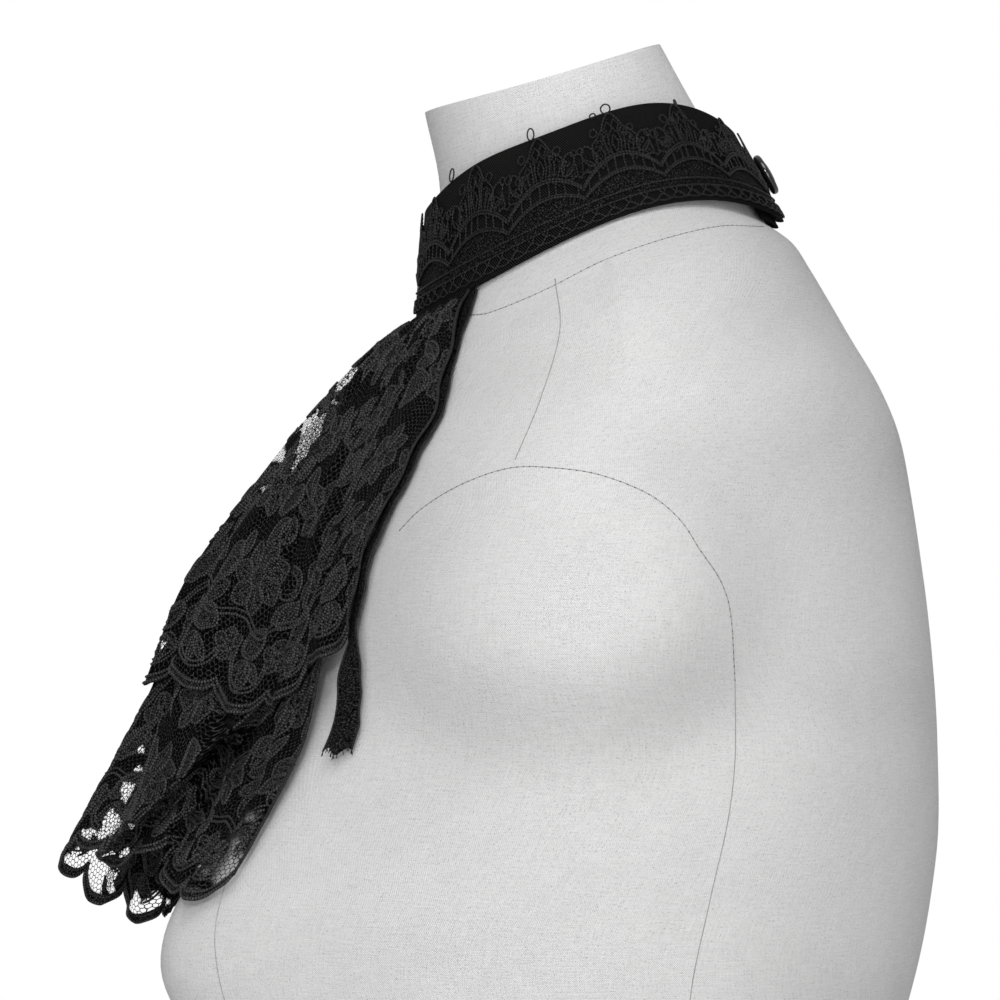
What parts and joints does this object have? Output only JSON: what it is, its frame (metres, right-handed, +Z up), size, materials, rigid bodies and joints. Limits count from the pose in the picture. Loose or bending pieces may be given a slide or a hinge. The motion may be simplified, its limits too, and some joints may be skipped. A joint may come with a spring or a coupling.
{
  "type": "lace jabot collar on a dress form",
  "caption": "Stand collar with guipure lace and a back button, two gathered tiers of scalloped lace hanging in folds from its front, worn by a plain limbless dress form",
  "frame": {"origin": "centre of the dress form's flat foot, on the surface it stands on", "axes": "+Z up, -Y the way the wearer faces, +X the wearer's left"},
  "size_m": [0.3432, 0.3038, 0.6397],
  "materials": {
    "linen": "plain-woven linen over a firm form",
    "twill": "fine diagonal twill, matt",
    "guipure": "raised corded lace, matt with a faint thread shine",
    "tier_lace": "net lace with dense motifs and raised cord outlines",
    "facing": "narrow net strip with a frayed end",
    "button": "polished, domed"
  },
  "bodies": {
    "root": {"dress_form": "linen", "neckband": "twill", "collar_lace": "guipure", "back_button": "button", "upper_tier": "tier_lace", "lower_tier": "tier_lace", "left_facing": "facing", "right_facing": "facing"}
  },
  "joints": []
}
